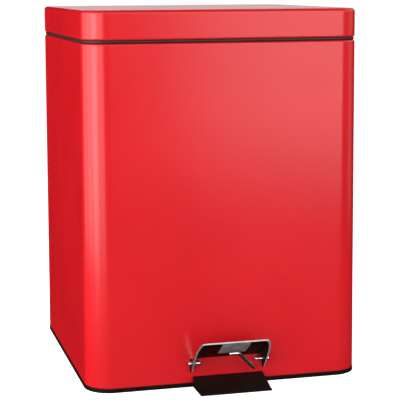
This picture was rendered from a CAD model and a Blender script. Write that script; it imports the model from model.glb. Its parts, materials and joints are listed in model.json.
"""The looks of the square step-on waste can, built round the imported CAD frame.

Lengths are in millimetres until a mesh is made, and the frame's own boxes and joints give the
places. The can's steel, gasket, pail, pedal, wedge and rods are remade here as finer meshes with
true bends. The other CAD nodes stay, with small bevels and better materials.
"""

import json
import math

import bmesh
import bpy
from mathutils import Matrix, Vector


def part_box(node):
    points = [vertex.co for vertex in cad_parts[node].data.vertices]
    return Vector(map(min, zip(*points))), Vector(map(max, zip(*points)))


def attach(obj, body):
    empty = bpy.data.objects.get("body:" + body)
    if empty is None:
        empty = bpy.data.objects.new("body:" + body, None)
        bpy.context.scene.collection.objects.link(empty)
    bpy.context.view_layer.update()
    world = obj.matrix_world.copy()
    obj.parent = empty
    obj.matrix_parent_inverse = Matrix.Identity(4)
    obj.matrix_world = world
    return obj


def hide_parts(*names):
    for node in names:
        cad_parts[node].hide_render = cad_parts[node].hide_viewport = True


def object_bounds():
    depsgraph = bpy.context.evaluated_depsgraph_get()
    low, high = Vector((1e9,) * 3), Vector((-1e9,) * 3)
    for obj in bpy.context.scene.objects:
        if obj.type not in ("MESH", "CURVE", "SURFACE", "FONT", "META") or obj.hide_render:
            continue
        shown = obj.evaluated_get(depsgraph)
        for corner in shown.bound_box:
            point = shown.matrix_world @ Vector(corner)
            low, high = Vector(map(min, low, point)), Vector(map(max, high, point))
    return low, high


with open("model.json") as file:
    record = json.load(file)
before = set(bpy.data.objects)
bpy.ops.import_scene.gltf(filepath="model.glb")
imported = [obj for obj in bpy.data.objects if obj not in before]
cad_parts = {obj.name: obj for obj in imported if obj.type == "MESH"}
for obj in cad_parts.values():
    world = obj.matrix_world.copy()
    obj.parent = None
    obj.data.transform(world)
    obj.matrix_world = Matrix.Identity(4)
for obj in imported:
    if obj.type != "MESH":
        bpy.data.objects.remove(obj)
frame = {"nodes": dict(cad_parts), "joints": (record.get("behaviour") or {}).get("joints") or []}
cad_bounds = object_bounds()

MM = 0.001

# ---- Sizes shared with the CAD part, in millimetres ----

CORNER_R = 26.5
CORNER_STEPS = 28
SHEET = 1.0
RIM_FLANGE = 12.0
RIM_BEND = 2.2
FOOT_FLANGE = 14.0
FOOT_BEND = 1.3
LID_EDGE = 4.1
LID_HEM = 1.8
LID_FLANGE = 9.2
GASKET_RECESS = 0.8
GASKET_W = 8.0
PAIL_T = 0.8
PAIL_BEAD = 4.6
PAIL_BEND = 5.0
PAIL_R = 16.0
WIRE_D = 4.0
WIRE_CLEAR = 0.2
PIN_CLEAR = 0.05
STAPLE_TURN_X = 31.0
STAPLE_BEND = 3.5
CRANK_REAR_R = 28.5
CRANK_SWING = math.radians(32)
HEEL_SLOT_W = 3.2
HEEL_SLOT_LOW = 16.6
HEEL_SLOT_HIGH = 31.4
PEDAL_T = 1.6
PEDAL_SLOPE = math.radians(34.1)
PEDAL_LENGTH = 39.0
PANEL_OVER_AXIS = 8.45
PEDAL_BEND = 8.5
LINER_T = 1.0
LINER_GAP = 0.05
LINER_WINDOW = 0.3
LINER_SHORT = 1.2
RUB_LOW = 10.5
ROD_BEND = 5.0
ROD_FOOT_OUT = 20.0
ROD_KNEE_OUT = 8.0
ROD_HOOK_OUT = 9.0
WEDGE_LIP = 1.2


def mm_box(node):
    """A CAD node's lowest and highest corners, in millimetres."""
    lo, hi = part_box(node)
    return Vector(lo) / MM, Vector(hi) / MM


def joint_place(name):
    """A joint's place, in millimetres."""
    for joint in frame["joints"]:
        if joint["name"] == name:
            return Vector(joint["pos_m"]) / MM
    raise ValueError(f"the frame has no joint {name}")


BODY_LO, BODY_HI = mm_box("body_shell")
LID_LO, LID_HI = mm_box("lid_shell")
GASKET_LO, GASKET_HI = mm_box("rim_gasket")
PAIL_LO, PAIL_HI = mm_box("liner_pail")
WEDGE_LO, WEDGE_HI = mm_box("step_wedge")
ROD_BACK = mm_box("crank_rod")[1].y
STAPLE_LO, STAPLE_HI = mm_box("pedal_hinge_wire")
RUB_LO, RUB_HI = mm_box("pedal_rub_plate")
PEDAL_HALF = mm_box("pedal_plate")[1].x
PEDAL_AXIS = joint_place("pedal_press")
CRANK_AXIS = joint_place("crank_turn")

CAN_W = LID_HI.x - LID_LO.x
CAN_D = LID_HI.y - LID_LO.y
FLARE = BODY_HI.x - LID_HI.x


def wall_out(z):
    """How far the outer wall stands beyond the rim's outline at height z."""
    top = BODY_HI.z - RIM_BEND
    return FLARE * (top - z) / (top - BODY_LO.z)


# ---- Mesh building ----

# The turn at an edge above which it is shaded sharp, and above which it is bevelled, in degrees.
SHARP_ANGLE = 38.0
BEVEL_ANGLE = 35.0
BEVEL_STEPS = 2
# How strongly the larger faces decide the normals.
NORMAL_WEIGHT = 60


def arc(x, z, radius, start, end, steps):
    """Points on an arc, from one angle to another in degrees."""
    turns = [math.radians(start + (end - start) * i / steps) for i in range(steps + 1)]
    return [(x + radius * math.cos(t), z + radius * math.sin(t)) for t in turns]


def ring_stations(width, depth, radius, arc_steps=20, margin=2.5):
    """Places round a rounded rectangle, each with its outward direction."""
    stations = []
    for quarter, (sx, sy) in enumerate(((1, 1), (-1, 1), (-1, -1), (1, -1))):
        centre = Vector((sx * (width / 2 - radius), sy * (depth / 2 - radius)))
        for i in range(arc_steps + 1):
            turn = math.radians(90 * (quarter + i / arc_steps))
            out = Vector((math.cos(turn), math.sin(turn)))
            along = Vector((-out.y, out.x))
            if i == 0:
                stations.append((centre + out * radius - along * margin, out))
            stations.append((centre + out * radius, out))
            if i == arc_steps:
                stations.append((centre + out * radius + along * margin, out))
    return stations


def add_ring(bm, stations, section, closed=True):
    """Carries a section of (out, height) points round the stations. An open section's two ends
    are closed with flat faces."""
    rings = []
    for place, out in stations:
        rings.append(
            [bm.verts.new((place.x + out.x * o, place.y + out.y * o, z)) for o, z in section]
        )
    count = len(section)
    spans = count if closed else count - 1
    for i, ring in enumerate(rings):
        nxt = rings[(i + 1) % len(rings)]
        for j in range(spans):
            k = (j + 1) % count
            bm.faces.new((ring[j], nxt[j], nxt[k], ring[k]))
    if not closed:
        bm.faces.new([ring[0] for ring in rings])
        bm.faces.new([ring[-1] for ring in reversed(rings)])


def add_prism(bm, outline, start, end, place):
    """Extrudes an outline between two distances. place(u, v, w) gives a point of the prism."""
    near = [bm.verts.new(place(u, v, start)) for u, v in outline]
    far = [bm.verts.new(place(u, v, end)) for u, v in outline]
    bm.faces.new(near)
    bm.faces.new(list(reversed(far)))
    for i in range(len(outline)):
        j = (i + 1) % len(outline)
        bm.faces.new((near[i], far[i], far[j], near[j]))


def add_rod(bm, start, end, radius, steps=32):
    """A plain cutting rod between two points."""
    run = Vector(end) - Vector(start)
    turn = run.to_track_quat("Z", "Y").to_matrix().to_4x4()
    middle = Matrix.Translation((Vector(start) + Vector(end)) / 2)
    bmesh.ops.create_cone(
        bm, cap_ends=True, segments=steps, radius1=radius, radius2=radius,
        depth=run.length, matrix=middle @ turn,
    )


def to_object(bm, name):
    """Turns a mesh in millimetres into an object in metres, with outward faces."""
    bmesh.ops.recalc_face_normals(bm, faces=bm.faces)
    bmesh.ops.scale(bm, vec=(MM, MM, MM), verts=bm.verts)
    mesh = bpy.data.meshes.new(name)
    bm.to_mesh(mesh)
    bm.free()
    piece = bpy.data.objects.new(name, mesh)
    bpy.context.scene.collection.objects.link(piece)
    return piece


def boolean(piece, cutter, operation):
    """Cuts a piece with a cutter, keeps the result as its mesh, and removes the cutter."""
    cut = piece.modifiers.new("cut", "BOOLEAN")
    cut.operation = operation
    cut.solver = "EXACT"
    cut.object = cutter
    bpy.context.view_layer.update()
    result = bpy.data.meshes.new_from_object(
        piece.evaluated_get(bpy.context.evaluated_depsgraph_get())
    )
    piece.modifiers.clear()
    old = piece.data
    piece.data = result
    result.name = piece.name
    bpy.data.meshes.remove(old)
    bpy.data.objects.remove(cutter)


def soften(piece, bevel):
    """Small bevels on sharp edges, and normals that follow the larger faces."""
    if bevel:
        edge = piece.modifiers.new("edges", "BEVEL")
        edge.width = bevel * MM
        edge.segments = BEVEL_STEPS
        edge.limit_method = "ANGLE"
        edge.angle_limit = math.radians(BEVEL_ANGLE)
        edge.use_clamp_overlap = True
    even = piece.modifiers.new("normals", "WEIGHTED_NORMAL")
    even.keep_sharp = True
    even.weight = NORMAL_WEIGHT


def place_piece(piece, material, body, node, bevel=0.0):
    """Gives a new piece its look, its body and the CAD node it stands for."""
    for face in piece.data.polygons:
        face.use_smooth = True
    piece.data.set_sharp_from_angle(angle=math.radians(SHARP_ANGLE))
    piece.data.materials.clear()
    piece.data.materials.append(material)
    soften(piece, bevel)
    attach(piece, body)
    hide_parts(node)


# ---- Materials ----


class Look:
    """A material made of nodes, with short ways to add them."""

    def __init__(self, name):
        self.material = bpy.data.materials.new(name)
        self.material.use_nodes = True
        self.tree = self.material.node_tree
        self.shader = self.tree.nodes["Principled BSDF"]
        self.place = self.tree.nodes.new("ShaderNodeTexCoord").outputs["Object"]

    def link(self, source, target):
        """Joins a node's output to another's input."""
        self.tree.links.new(source, target)

    def stretched(self, scale):
        """The object's coordinates, scaled along each axis."""
        node = self.tree.nodes.new("ShaderNodeMapping")
        node.inputs["Scale"].default_value = scale
        self.link(self.place, node.inputs["Vector"])
        return node.outputs["Vector"]

    def noise(self, scale, detail=3.0, rough=0.5, at=None):
        """Cloudy noise, from 0 to 1."""
        node = self.tree.nodes.new("ShaderNodeTexNoise")
        node.inputs["Scale"].default_value = scale
        node.inputs["Detail"].default_value = detail
        node.inputs["Roughness"].default_value = rough
        self.link(at or self.place, node.inputs["Vector"])
        return node.outputs["Fac"]

    def cells(self, scale, feature="F1", output="Distance"):
        """A pattern of cells, as distances or as a colour per cell."""
        node = self.tree.nodes.new("ShaderNodeTexVoronoi")
        node.feature = feature
        node.inputs["Scale"].default_value = scale
        self.link(self.place, node.inputs["Vector"])
        return node.outputs[output]

    def spread(self, source, low, high, from_low=0.3, from_high=0.7):
        """Maps a pattern onto a range of numbers."""
        node = self.tree.nodes.new("ShaderNodeMapRange")
        node.inputs["From Min"].default_value = from_low
        node.inputs["From Max"].default_value = from_high
        node.inputs["To Min"].default_value = low
        node.inputs["To Max"].default_value = high
        self.link(source, node.inputs["Value"])
        return node.outputs["Result"]

    def between(self, source, first, second, from_low=0.3, from_high=0.7):
        """A colour between two others, as a pattern goes from low to high."""
        node = self.tree.nodes.new("ShaderNodeValToRGB")
        low, high = node.color_ramp.elements
        low.position, low.color = from_low, (*first, 1)
        high.position, high.color = from_high, (*second, 1)
        self.link(source, node.inputs["Fac"])
        return node.outputs["Color"]

    def colour(self, source):
        """Sets the base colour."""
        self.link(source, self.shader.inputs["Base Color"])

    def roughness(self, source):
        """Sets the roughness."""
        self.link(source, self.shader.inputs["Roughness"])

    def relief(self, *layers):
        """Bumps, each given as a pattern, its depth in millimetres and its strength."""
        last = None
        for pattern, depth, strength in layers:
            bump = self.tree.nodes.new("ShaderNodeBump")
            bump.inputs["Distance"].default_value = depth * MM
            bump.inputs["Strength"].default_value = strength
            self.link(pattern, bump.inputs["Height"])
            if last:
                self.link(last, bump.inputs["Normal"])
            last = bump.outputs["Normal"]
        self.link(last, self.shader.inputs["Normal"])


def red_enamel():
    """Baked enamel on sheet steel with a fine orange peel."""
    look = Look("red_enamel")
    look.colour(look.between(look.noise(7, 2), (0.60, 0.0085, 0.0135), (0.66, 0.0105, 0.0165)))
    look.roughness(look.spread(look.noise(20, 2), 0.19, 0.22))
    look.relief((look.noise(900, 2), 0.03, 0.03))
    look.shader.inputs["IOR"].default_value = 1.5
    return look.material


def black_moulding():
    """Satin black moulding with a fine cast grain."""
    look = Look("black_moulding")
    look.colour(look.between(look.noise(60, 4), (0.0028, 0.0022, 0.002), (0.005, 0.0038, 0.0034)))
    look.roughness(look.spread(look.noise(180, 3), 0.42, 0.56))
    look.shader.inputs["Specular IOR Level"].default_value = 0.14
    look.relief((look.cells(1100), 0.05, 0.35), (look.noise(90, 3), 0.1, 0.15))
    return look.material


def gasket_rubber():
    """Matt rubber strip with a dusty bloom."""
    look = Look("gasket_rubber")
    look.colour(look.between(look.noise(45, 5), (0.010, 0.009, 0.009), (0.020, 0.018, 0.017)))
    look.roughness(look.spread(look.noise(400, 2), 0.45, 0.6))
    look.relief((look.noise(1400, 2), 0.04, 0.4))
    return look.material


def chrome_plate(name, dark, light, smooth, rough):
    """Plating with faint polishing lines and a few cloudy patches."""
    look = Look(name)
    look.shader.inputs["Metallic"].default_value = 1.0
    look.colour(look.between(look.noise(50, 3), dark, light))
    lines = look.noise(60, 4, 0.6, look.stretched((1, 14, 14)))
    look.roughness(look.spread(lines, smooth, rough))
    look.relief((lines, 0.02, 0.15))
    return look.material


def zinc_plate():
    """Zinc plating: cloudy, with short rolling lines."""
    look = Look("zinc_plate")
    look.shader.inputs["Metallic"].default_value = 1.0
    look.colour(look.between(look.noise(85, 5), (0.44, 0.45, 0.45), (0.62, 0.62, 0.60)))
    lines = look.noise(90, 5, 0.6, look.stretched((1, 1, 9)))
    look.roughness(look.spread(lines, 0.28, 0.46))
    look.relief((lines, 0.03, 0.25))
    return look.material


def sheared_edge():
    """The plated but unpolished edge of thick sheet, with fine shear lines."""
    look = Look("sheared_edge")
    look.shader.inputs["Metallic"].default_value = 0.7
    look.colour(look.between(look.noise(140, 4), (0.66, 0.62, 0.59), (0.82, 0.79, 0.76)))
    lines = look.noise(240, 3, 0.6, look.stretched((1, 5, 5)))
    look.roughness(look.spread(lines, 0.4, 0.55))
    look.relief((lines, 0.03, 0.3))
    return look.material


def dull_steel():
    """Plain steel dulled by wear, as on the rub plate under the pedal."""
    look = Look("dull_steel")
    look.shader.inputs["Metallic"].default_value = 0.25
    look.colour(look.between(look.noise(110, 5), (0.16, 0.165, 0.17), (0.30, 0.31, 0.315)))
    look.roughness(look.spread(look.noise(300, 3), 0.5, 0.7))
    look.relief((look.noise(420, 3), 0.03, 0.3))
    return look.material


def galvanised_sheet():
    """Hot-dip galvanised sheet with its crystal spangle."""
    look = Look("galvanised_sheet")
    look.shader.inputs["Metallic"].default_value = 1.0
    spangle = look.cells(120, output="Color")
    look.colour(look.between(spangle, (0.58, 0.60, 0.61), (0.74, 0.76, 0.77), 0.1, 0.9))
    look.roughness(look.spread(spangle, 0.26, 0.46, 0.1, 0.9))
    look.relief((look.cells(120, "DISTANCE_TO_EDGE"), 0.05, 0.2), (look.noise(16, 2), 1.0, 0.08))
    return look.material


def black_nylon():
    """Moulded nylon, a little waxy."""
    look = Look("black_nylon")
    look.colour(look.between(look.noise(120, 3), (0.012, 0.012, 0.012), (0.022, 0.022, 0.021)))
    look.roughness(look.spread(look.noise(260, 3), 0.36, 0.5))
    look.relief((look.noise(700, 2), 0.03, 0.3))
    return look.material


RED = red_enamel()
BLACK = black_moulding()
RUBBER = gasket_rubber()
CHROME = chrome_plate("chrome_plate", (0.70, 0.71, 0.72), (0.80, 0.80, 0.80), 0.22, 0.32)
WORN_CHROME = chrome_plate("worn_chrome", (0.26, 0.26, 0.27), (0.36, 0.36, 0.36), 0.28, 0.4)
ZINC = zinc_plate()
SHEARED = sheared_edge()
DULL = dull_steel()
GALVANISED = galvanised_sheet()
NYLON = black_nylon()

# ---- The can's steel ----

# How far the flat top of the lid and the flat floor of the pail reach in past their bends.
TOP_MARGIN = 6.0
FLOOR_MARGIN = 4.0
# How far a cutter reaches past the face that it cuts.
HOLE_DEEP = 8.0


def make_body():
    """Four walls with a rolled rim and an inturned foot, with the holes that the linkage needs."""
    foot, rim = BODY_LO.z, BODY_HI.z
    outer = arc(FLARE - FOOT_BEND, foot + FOOT_BEND, FOOT_BEND, -90, 0, 4)
    outer += arc(-RIM_BEND, rim - RIM_BEND, RIM_BEND, 0, 90, 8)
    inner = arc(-RIM_BEND, rim - RIM_BEND, RIM_BEND - SHEET, 90, 0, 5)
    inner += arc(FLARE - FOOT_BEND, foot + FOOT_BEND, FOOT_BEND - SHEET, 0, -90, 3)
    section = [(FLARE - FOOT_FLANGE, foot)] + outer
    section += [(-RIM_FLANGE, rim), (-RIM_FLANGE, rim - SHEET)]
    section += inner + [(FLARE - FOOT_FLANGE, foot + SHEET)]
    bm = bmesh.new()
    add_ring(bm, ring_stations(CAN_W, CAN_D, CORNER_R, CORNER_STEPS), section)
    body = to_object(bm, "body_steel")

    holes = bmesh.new()
    front = -CAN_D / 2
    bore = WIRE_D / 2 + WIRE_CLEAR
    for side in (-1, 1):
        wall = side * CAN_D / 2
        add_rod(
            holes, (CRANK_AXIS.x, wall - side * HOLE_DEEP, CRANK_AXIS.z),
            (CRANK_AXIS.x, wall + side * HOLE_DEEP, CRANK_AXIS.z), bore,
        )
        turn_x = side * STAPLE_TURN_X
        add_rod(
            holes, (turn_x, front - HOLE_DEEP, PEDAL_AXIS.z),
            (turn_x, front + HOLE_DEEP, PEDAL_AXIS.z), bore,
        )
        slot = bmesh.ops.create_cube(holes, size=1)["verts"]
        size = (HEEL_SLOT_W, 2 * HOLE_DEEP, HEEL_SLOT_HIGH - HEEL_SLOT_LOW)
        place = (side * (PEDAL_HALF - PEDAL_T / 2), front, (HEEL_SLOT_HIGH + HEEL_SLOT_LOW) / 2)
        bmesh.ops.scale(holes, vec=size, verts=slot)
        bmesh.ops.translate(holes, vec=place, verts=slot)
    boolean(body, to_object(holes, "body_holes"), "DIFFERENCE")
    place_piece(body, RED, "can", "body_shell")


def make_lid():
    """A flat top with a rolled edge, a skirt, and a hem turned in over the gasket."""
    bottom, top = LID_LO.z, LID_HI.z
    section = [(-LID_EDGE - TOP_MARGIN, top - SHEET)]
    section += arc(-LID_EDGE, top - LID_EDGE, LID_EDGE - SHEET, 90, 0, 8)
    section += arc(-LID_HEM, bottom + LID_HEM, LID_HEM - SHEET, 0, -90, 4)
    section += [(-LID_FLANGE, bottom + SHEET), (-LID_FLANGE, bottom)]
    section += arc(-LID_HEM, bottom + LID_HEM, LID_HEM, -90, 0, 6)
    section += arc(-LID_EDGE, top - LID_EDGE, LID_EDGE, 0, 90, 12)
    section += [(-LID_EDGE - TOP_MARGIN, top)]
    bm = bmesh.new()
    add_ring(bm, ring_stations(CAN_W, CAN_D, CORNER_R, CORNER_STEPS), section, closed=False)
    lid = to_object(bm, "lid_steel")
    place_piece(lid, RED, "lid", "lid_shell")


def make_gasket():
    """The rubber strip between rim and lid, with a full round outer edge."""
    low, high = GASKET_LO.z, GASKET_HI.z
    radius = (high - low) / 2
    chamfer = 0.4
    back = -GASKET_RECESS - GASKET_W + chamfer
    section = [(back, low)] + arc(-GASKET_RECESS - radius, low + radius, radius, -90, 90, 12)
    section += [
        (back, high), (back - chamfer, high - chamfer), (back - chamfer, low + chamfer)
    ]
    bm = bmesh.new()
    add_ring(bm, ring_stations(CAN_W, CAN_D, CORNER_R, CORNER_STEPS), section)
    gasket = to_object(bm, "gasket_strip")
    place_piece(gasket, RUBBER, "can", "rim_gasket")


def make_pail():
    """The lift-out pail, with a wired bead round its rim."""
    low = PAIL_LO.z
    proud = PAIL_BEAD - PAIL_T
    width = PAIL_HI.x - PAIL_LO.x - 2 * proud
    depth = PAIL_HI.y - PAIL_LO.y - 2 * proud
    bead_x, bead_z = PAIL_BEAD / 2 - PAIL_T, PAIL_HI.z - PAIL_BEAD / 2
    section = [(-PAIL_BEND - FLOOR_MARGIN, low)]
    section += arc(-PAIL_BEND, low + PAIL_BEND, PAIL_BEND, -90, 0, 8)
    section += arc(bead_x, bead_z, PAIL_BEAD / 2, -125, 160, 16)
    section += arc(-PAIL_BEND, low + PAIL_BEND, PAIL_BEND - PAIL_T, 0, -90, 8)
    section += [(-PAIL_BEND - FLOOR_MARGIN, low + PAIL_T)]
    bm = bmesh.new()
    add_ring(bm, ring_stations(width, depth, PAIL_R, 16), section, closed=False)
    pail = to_object(bm, "pail_sheet")
    place_piece(pail, GALVANISED, "can", "liner_pail")


# ---- Pedal ----

# The channel is made too long and too deep, and then trimmed to its side outline.
CHANNEL_LOW = -30.0
CHANNEL_REACH = 60.0
# How much a face of the pedal must look forward to be its sheared edge.
EDGE_FACING = 0.7


def on_slope(along, above):
    """A point of the pedal's side view, given along the panel's slope and above it."""
    cos, sin = math.cos(PEDAL_SLOPE), math.sin(PEDAL_SLOPE)
    return along * cos - above * sin, along * sin + above * cos


def beside(out, up, across):
    """A point from the hinge: how far out, how high, and across."""
    return across, PEDAL_AXIS.y - out, PEDAL_AXIS.z + up


def on_panel(across, above, along):
    """A point from the hinge: across, above the panel's slope, and out along it."""
    return beside(*on_slope(along, above), across)


# Side outlines from the hinge: how far out, and how high.
PEDAL_SIDE = [
    (-4, 7.6), (-3.6, -9.5), (-1.2, -9.5),
    on_slope(PEDAL_LENGTH, PANEL_OVER_AXIS - PEDAL_T),
    on_slope(PEDAL_LENGTH, PANEL_OVER_AXIS + 4), (-4, 32),
]
LINER_SIDE = [
    (-3.4, -2.4), (1.4, -5.3),
    on_slope(PEDAL_LENGTH - LINER_SHORT, PANEL_OVER_AXIS - PEDAL_T),
    on_slope(PEDAL_LENGTH - LINER_SHORT, PANEL_OVER_AXIS), (-3.4, 30),
]


def channel_section(half, top, radius, thick):
    """The pressed channel's section: across, and above the hinge at right angles to the panel."""
    outer = [(-half, CHANNEL_LOW)]
    outer += arc(-half + radius, top - radius, radius, 180, 90, 10)
    outer += arc(half - radius, top - radius, radius, 90, 0, 10)
    outer += [(half, CHANNEL_LOW)]
    half, top, radius = half - thick, top - thick, radius - thick
    inner = [(half, CHANNEL_LOW)]
    inner += arc(half - radius, top - radius, radius, 0, 90, 10)
    inner += arc(-half + radius, top - radius, radius, 90, 180, 10)
    inner += [(-half, CHANNEL_LOW)]
    return outer + inner


def make_channel(name, half, top, radius, thick, side, bore):
    """A channel on the pedal's slope, trimmed to a side outline and bored for the hinge wire."""
    bm = bmesh.new()
    section = channel_section(half, top, radius, thick)
    add_prism(bm, section, -CHANNEL_REACH, CHANNEL_REACH, on_panel)
    piece = to_object(bm, name)
    trim = bmesh.new()
    reach = half + 2
    add_prism(trim, side, -reach, reach, beside)
    boolean(piece, to_object(trim, "trim"), "INTERSECT")
    holes = bmesh.new()
    start, end = (-reach, PEDAL_AXIS.y, PEDAL_AXIS.z), (reach, PEDAL_AXIS.y, PEDAL_AXIS.z)
    add_rod(holes, start, end, bore)
    boolean(piece, to_object(holes, "bore"), "DIFFERENCE")
    return piece


def make_pedal():
    """The chromed pedal and the black liner under its panel."""
    pin_hole = WIRE_D / 2 + PIN_CLEAR
    plate = make_channel(
        "pedal_chrome", PEDAL_HALF, PANEL_OVER_AXIS, PEDAL_BEND, PEDAL_T, PEDAL_SIDE, pin_hole
    )
    place_piece(plate, WORN_CHROME, "pedal", "pedal_plate", bevel=0.3)
    plate.data.materials.append(SHEARED)
    for face in plate.data.polygons:
        if -face.normal.y > EDGE_FACING:
            face.material_index = 1
    inset = PEDAL_T + LINER_GAP
    liner = make_channel(
        "pedal_lining", PEDAL_HALF - inset, PANEL_OVER_AXIS - inset, PEDAL_BEND - PEDAL_T,
        LINER_T, LINER_SIDE, WIRE_D / 2 + 2 * WIRE_CLEAR,
    )
    window = bmesh.new()
    left, right = RUB_LO.x - LINER_WINDOW, RUB_HI.x + LINER_WINDOW
    low, high = PANEL_OVER_AXIS - HOLE_DEEP, PANEL_OVER_AXIS
    outline = [(left, low), (right, low), (right, high), (left, high)]
    past_end = PEDAL_LENGTH + 2
    add_prism(window, outline, RUB_LOW - LINER_WINDOW, past_end, on_panel)
    boolean(liner, to_object(window, "window"), "DIFFERENCE")
    place_piece(liner, BLACK, "pedal", "pedal_liner", bevel=0.2)


# ---- Rods ----

# The largest share of a straight leg that one bend may take.
LEG_SHARE = 0.48


def rounded_path(points, bend, steps=8):
    """A path through points with each corner turned on an arc of the bend's radius."""
    path = [points[0]]
    for before, corner, after in zip(points, points[1:], points[2:]):
        back, ahead = (before - corner).normalized(), (after - corner).normalized()
        half = back.angle(ahead) / 2
        most = LEG_SHARE * min((before - corner).length, (after - corner).length)
        cut = min(bend / math.tan(half), most)
        radius = cut * math.tan(half)
        centre = corner + (back + ahead).normalized() * (radius / math.sin(half))
        start, end = corner + back * cut - centre, corner + ahead * cut - centre
        start.normalize()
        end.normalize()
        for i in range(steps + 1):
            path.append(centre + start.slerp(end, i / steps) * radius)
    path.append(points[-1])
    return path


def make_wire(name, points, bend, body, node, sides=24, chamfer=0.5):
    """A round rod along a path, with smooth bends and chamfered ends."""
    path = rounded_path([Vector(p) for p in points], bend)
    radius = WIRE_D / 2
    first = (path[1] - path[0]).normalized()
    last = (path[-1] - path[-2]).normalized()
    places = [(path[0], radius - chamfer), (path[0] + first * chamfer, radius)]
    places += [(p, radius) for p in path[1:-1]]
    places += [(path[-1] - last * chamfer, radius), (path[-1], radius - chamfer)]
    bm = bmesh.new()
    rings = []
    across = first.orthogonal().normalized()
    for i, (place, r) in enumerate(places):
        ahead = places[min(i + 1, len(places) - 1)][0]
        behind = places[max(i - 1, 0)][0]
        along = (ahead - behind).normalized()
        across = (across - along * across.dot(along)).normalized()
        third = along.cross(across)
        ring = []
        for k in range(sides):
            turn = 2 * math.pi * k / sides
            out = across * r * math.cos(turn) + third * r * math.sin(turn)
            ring.append(bm.verts.new(place + out))
        rings.append(ring)
    for near, far in zip(rings, rings[1:]):
        for k in range(sides):
            m = (k + 1) % sides
            bm.faces.new((near[k], near[m], far[m], far[k]))
    bm.faces.new(rings[0])
    bm.faces.new(list(reversed(rings[-1])))
    wire = to_object(bm, name)
    place_piece(wire, CHROME, body, node)


# The rod's foot under the pedal: across, how far past the foot's place, and height.
ROD_FOOT = [(-3.8, 0.6, 40), (6.6, 0, 39.9)]


def make_rods():
    """The cranked rod that runs under the floor, and the staple that the pedal turns on."""
    radius = WIRE_D / 2
    wall_y = -(CAN_D / 2 + wall_out(CRANK_AXIS.z))
    back_y = CAN_D / 2 + ROD_HOOK_OUT
    hook_x = CRANK_AXIS.x - CRANK_REAR_R * math.cos(CRANK_SWING / 2)
    hook_z = CRANK_AXIS.z + CRANK_REAR_R * math.sin(CRANK_SWING / 2)
    make_wire(
        "crank_rod_chrome",
        [
            *((x, wall_y - ROD_FOOT_OUT - more, z) for x, more, z in ROD_FOOT),
            (CRANK_AXIS.x, wall_y - ROD_KNEE_OUT, CRANK_AXIS.z),
            (CRANK_AXIS.x, back_y, CRANK_AXIS.z),
            (hook_x, back_y, hook_z),
            (hook_x, ROD_BACK, hook_z),
        ],
        ROD_BEND, "crank", "crank_rod",
    )
    middle_y = STAPLE_HI.y - radius
    z = PEDAL_AXIS.z
    make_wire(
        "hinge_wire_chrome",
        [
            (STAPLE_LO.x, PEDAL_AXIS.y, z), (-STAPLE_TURN_X, PEDAL_AXIS.y, z),
            (-STAPLE_TURN_X, middle_y, z), (STAPLE_TURN_X, middle_y, z),
            (STAPLE_TURN_X, PEDAL_AXIS.y, z), (STAPLE_HI.x, PEDAL_AXIS.y, z),
        ],
        STAPLE_BEND, "can", "pedal_hinge_wire",
    )


# ---- Wedge ----


def make_wedge():
    """The black wedge at the foot, with rounded edges and a raised lip along its front."""
    reach = WEDGE_HI.y - WEDGE_LO.y
    side = [
        (0, 0), (reach - 1.6, 0), (reach, 1.2), (reach, 2.6), (reach - WEDGE_LIP, 2.6),
        (reach - WEDGE_LIP, 1.9), (0, WEDGE_HI.z),
    ]
    bm = bmesh.new()
    add_prism(bm, side, WEDGE_LO.x, WEDGE_HI.x, lambda out, up, x: (x, WEDGE_HI.y - out, up))
    wedge = to_object(bm, "wedge_moulding")
    place_piece(wedge, BLACK, "can", "step_wedge", bevel=0.5)


make_body()
make_lid()
make_gasket()
make_pail()
make_pedal()
make_rods()
make_wedge()

# ---- CAD nodes that stay ----

# Corners of a node's faces closer than this are joined, in millimetres.
WELD_GAP = 0.005

# Each node's material and the width of its bevels in millimetres.
KEPT_NODES = {
    "base_tray": (BLACK, 0.4),
    "floor_pan": (RED, 0.2),
    "lid_stiffener": (RED, 0.2),
    "crank_front_bush": (NYLON, 0.15),
    "crank_rear_bush": (NYLON, 0.15),
    "hinge_wire_caps": (CHROME, 0.2),
    "base_screws": (ZINC, 0.1),
    "body_hinge_bracket": (ZINC, 0.2),
    "body_hinge_rivets": (ZINC, 0.15),
    "hinge_pin": (ZINC, 0.3),
    "hinge_pin_caps": (ZINC, 0.2),
    "pull_link_guides": (ZINC, 0.2),
    "guide_rivets": (ZINC, 0.15),
    "crank_saddle": (ZINC, 0.2),
    "saddle_rivets": (ZINC, 0.15),
    "hinge_wire_clamp": (ZINC, 0.3),
    "wedge_screws": (ZINC, 0.15),
    "lid_hinge_bracket": (ZINC, 0.2),
    "lid_hinge_rivets": (ZINC, 0.15),
    "lever_pin": (ZINC, 0.3),
    "lever_pin_clips": (ZINC, 0.2),
    "pedal_rub_plate": (DULL, 0.15),
    "crank_collars": (ZINC, 0.3),
    "crank_pin_clip": (ZINC, 0.2),
    "pull_link": (ZINC, 0.25),
}


def dress(node, material, bevel):
    """Gives a CAD node its look: joined faces, small bevels and a material."""
    part = frame["nodes"][node]
    if not part.material_slots:
        part.data.materials.append(material)
    for slot in part.material_slots:
        slot.material = material
    weld = part.modifiers.new("weld", "WELD")
    weld.merge_threshold = WELD_GAP * MM
    soften(part, bevel)


for node, (material, bevel) in KEPT_NODES.items():
    dress(node, material, bevel)

# ---- Floor, light and camera, in metres and radians, with the lens in millimetres ----

FLOOR_HALF = 40.0
FLOOR_GLOW = 0.95

# The dome that shiny parts see: it brightens with the height of a direction, darkens again
# overhead, and is dark towards DARK_SIDE.
DOME_RISE = (-0.02, 0.35)
DOME_FADE = (0.6, 0.9)
DOME_OVERHEAD = 0.1
DOME_RADIANCE = 0.9
DARK_SIDE = (-0.3, 0.95, 0.0)
DARK_EDGE = (0.1, 0.75)
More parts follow.
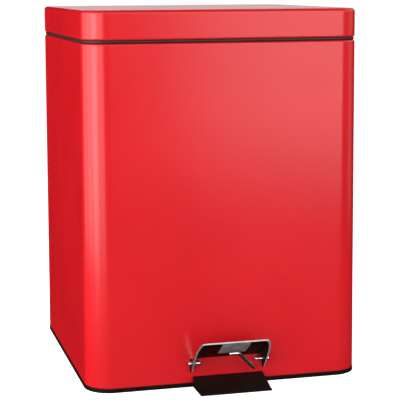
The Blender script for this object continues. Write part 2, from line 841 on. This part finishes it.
# The fill from below and from above, and the heights between which it changes.
FILL_LOW = 0.75
FILL_HIGH = 0.14
FILL_CHANGE = (-0.3, 0.3)
SEEN_WHITE = 1.05

MIDDLE = (0, 0, 0.24)

# Lights side by side on an arc at the can's left: name, turn from due left towards the front in
# degrees, and radiance.
LEFT_REACH = 1.7
LEFT_HEIGHT = 0.51
LEFT_SIZE = (0.76, 1.36)
LEFT_LIGHTS = [
    ("left_a", -22, 1.6),
    ("left_b", 4, 3.1),
    ("left_c", 30, 5.2),
    ("left_d", 56, 2.3),
]
# The other lights: name, place, target, width and height, radiance, and whether they show in
# shiny parts.
STUDIO_LIGHTS = [
    ("left_fill", (-1.3, 0.6, 1.1), (0, 0, 0.35), (0.6, 0.8), 7.6, False),
    ("front_panel", (1.32, -2.52, 0.8), MIDDLE, (1.55, 1.9), 2.8, True),
    ("right_panel", (1.7, -0.1, 0.5), MIDDLE, (0.8, 1.2), 0.5, True),
    ("right_fill", (1.3, -0.5, 0.8), (0, 0, 0.3), (0.6, 0.8), 3.4, False),
    ("top_fill", (0.1, -1.3, 1.4), MIDDLE, (1.6, 1.2), 0.7, False),
    ("back_panel", (0.9, 2.6, 0.9), (0, 0, 0.4), (1.6, 1.0), 0.8, True),
]

CAMERA_LENS = 119.59
CAMERA_SHIFT_X = 0.00143
CAMERA_PLACE = (-0.3824, -1.5127, 0.4341)
CAMERA_YAW = 0.2536
CAMERA_PITCH = 0.1614
CAMERA_ROLL = -0.0048


def make_floor():
    """A plain white floor that glows enough to stay white under the can."""
    bm = bmesh.new()
    bmesh.ops.create_grid(bm, x_segments=4, y_segments=4, size=FLOOR_HALF)
    mesh = bpy.data.meshes.new("floor")
    bm.to_mesh(mesh)
    bm.free()
    floor = bpy.data.objects.new("floor", mesh)
    floor.location.z = cad_bounds[0][2]
    bpy.context.scene.collection.objects.link(floor)
    material = bpy.data.materials.new("floor_white")
    material.use_nodes = True
    shader = material.node_tree.nodes["Principled BSDF"]
    shader.inputs["Base Color"].default_value = (0.8, 0.8, 0.8, 1)
    shader.inputs["Roughness"].default_value = 0.9
    shader.inputs["Specular IOR Level"].default_value = 0.0
    shader.inputs["Emission Color"].default_value = (1, 1, 1, 1)
    shader.inputs["Emission Strength"].default_value = FLOOR_GLOW
    mesh.materials.append(material)
    floor.visible_glossy = False
    floor.visible_diffuse = False


def aim(direction, up=Vector((0, 0, 1))):
    """A turn that points an object's -Z along a direction."""
    back = -direction.normalized()
    right = up.cross(back).normalized()
    return Matrix((right, back.cross(right), back)).transposed()


def soft_light(name, place, target, size, radiance, shows=True):
    """A rectangular soft light of a given radiance. shows is False if shiny parts don't see it."""
    width, height = size
    data = bpy.data.lights.new(name, "AREA")
    data.shape = "RECTANGLE"
    data.size, data.size_y = width, height
    data.energy = radiance * math.pi * width * height
    light = bpy.data.objects.new(name, data)
    place, target = Vector(place), Vector(target)
    turn = aim(target - place).to_4x4()
    light.matrix_world = Matrix.Translation(place) @ turn
    light.visible_glossy = shows
    bpy.context.scene.collection.objects.link(light)


def make_world():
    """White to the camera, a fill that is stronger from below, and a dome that glossy parts see
    as dark low down, behind the can and overhead."""
    world = bpy.data.worlds.new("studio")
    bpy.context.scene.world = world
    world.use_nodes = True
    tree = world.node_tree
    tree.nodes.clear()

    def node(kind, **inputs):
        made = tree.nodes.new(kind)
        for key, value in inputs.items():
            made.inputs[key.replace("_", " ")].default_value = value
        return made

    def ramp(source, span, first, last, smooth=True):
        made = node(
            "ShaderNodeMapRange", From_Min=span[0], From_Max=span[1], To_Min=first, To_Max=last
        )
        if smooth:
            made.interpolation_type = "SMOOTHSTEP"
        tree.links.new(source, made.inputs["Value"])
        return made.outputs["Result"]

    def times(first, second):
        made = node("ShaderNodeMath")
        made.operation = "MULTIPLY"
        tree.links.new(first, made.inputs[0])
        if isinstance(second, float):
            made.inputs[1].default_value = second
        else:
            tree.links.new(second, made.inputs[1])
        return made.outputs[0]

    path = node("ShaderNodeLightPath")
    place = node("ShaderNodeTexCoord").outputs["Generated"]
    parts = node("ShaderNodeSeparateXYZ")
    tree.links.new(place, parts.inputs[0])
    height = parts.outputs["Z"]
    behind = node("ShaderNodeVectorMath")
    behind.operation = "DOT_PRODUCT"
    behind.inputs[1].default_value = DARK_SIDE
    tree.links.new(place, behind.inputs[0])
    clear = ramp(behind.outputs["Value"], DARK_EDGE, 1.0, 0.0)
    dome = times(ramp(height, DOME_RISE, 0.0, 1.0), clear)
    dome = times(dome, ramp(height, DOME_FADE, 1.0, DOME_OVERHEAD))
    glossy = node("ShaderNodeBackground")
    tree.links.new(times(dome, DOME_RADIANCE), glossy.inputs["Strength"])
    fill = node("ShaderNodeBackground")
    lift = ramp(height, FILL_CHANGE, FILL_LOW, FILL_HIGH, smooth=False)
    tree.links.new(lift, fill.inputs["Strength"])
    seen = node("ShaderNodeBackground", Strength=SEEN_WHITE)
    for background in (glossy, fill, seen):
        background.inputs["Color"].default_value = (1, 1, 1, 1)
    shiny = node("ShaderNodeMixShader")
    tree.links.new(path.outputs["Is Glossy Ray"], shiny.inputs["Fac"])
    tree.links.new(fill.outputs[0], shiny.inputs[1])
    tree.links.new(glossy.outputs[0], shiny.inputs[2])
    camera = node("ShaderNodeMixShader")
    tree.links.new(path.outputs["Is Camera Ray"], camera.inputs["Fac"])
    tree.links.new(shiny.outputs[0], camera.inputs[1])
    tree.links.new(seen.outputs[0], camera.inputs[2])
    out = node("ShaderNodeOutputWorld")
    tree.links.new(camera.outputs[0], out.inputs["Surface"])


def make_camera():
    """A long lens a little above the lid, turned to show the front and the left side."""
    data = bpy.data.cameras.new("camera")
    data.sensor_width = 36.0
    data.lens = CAMERA_LENS
    data.shift_x = CAMERA_SHIFT_X
    camera = bpy.data.objects.new("camera", data)
    bpy.context.scene.collection.objects.link(camera)
    yaw, pitch = CAMERA_YAW, CAMERA_PITCH
    forward = Vector(
        (math.sin(yaw) * math.cos(pitch), math.cos(yaw) * math.cos(pitch), -math.sin(pitch))
    )
    turn = aim(forward) @ Matrix.Rotation(CAMERA_ROLL, 3, "Z")
    camera.matrix_world = Matrix.Translation(Vector(CAMERA_PLACE)) @ turn.to_4x4()
    bpy.context.scene.camera = camera


make_floor()
make_world()
for name, turn, radiance in LEFT_LIGHTS:
    angle = math.radians(turn)
    place = (-LEFT_REACH * math.cos(angle), -LEFT_REACH * math.sin(angle), LEFT_HEIGHT)
    soft_light(name, place, MIDDLE, LEFT_SIZE, radiance)
for settings in STUDIO_LIGHTS:
    soft_light(*settings)
make_camera()
bpy.context.scene.view_settings.view_transform = "Standard"
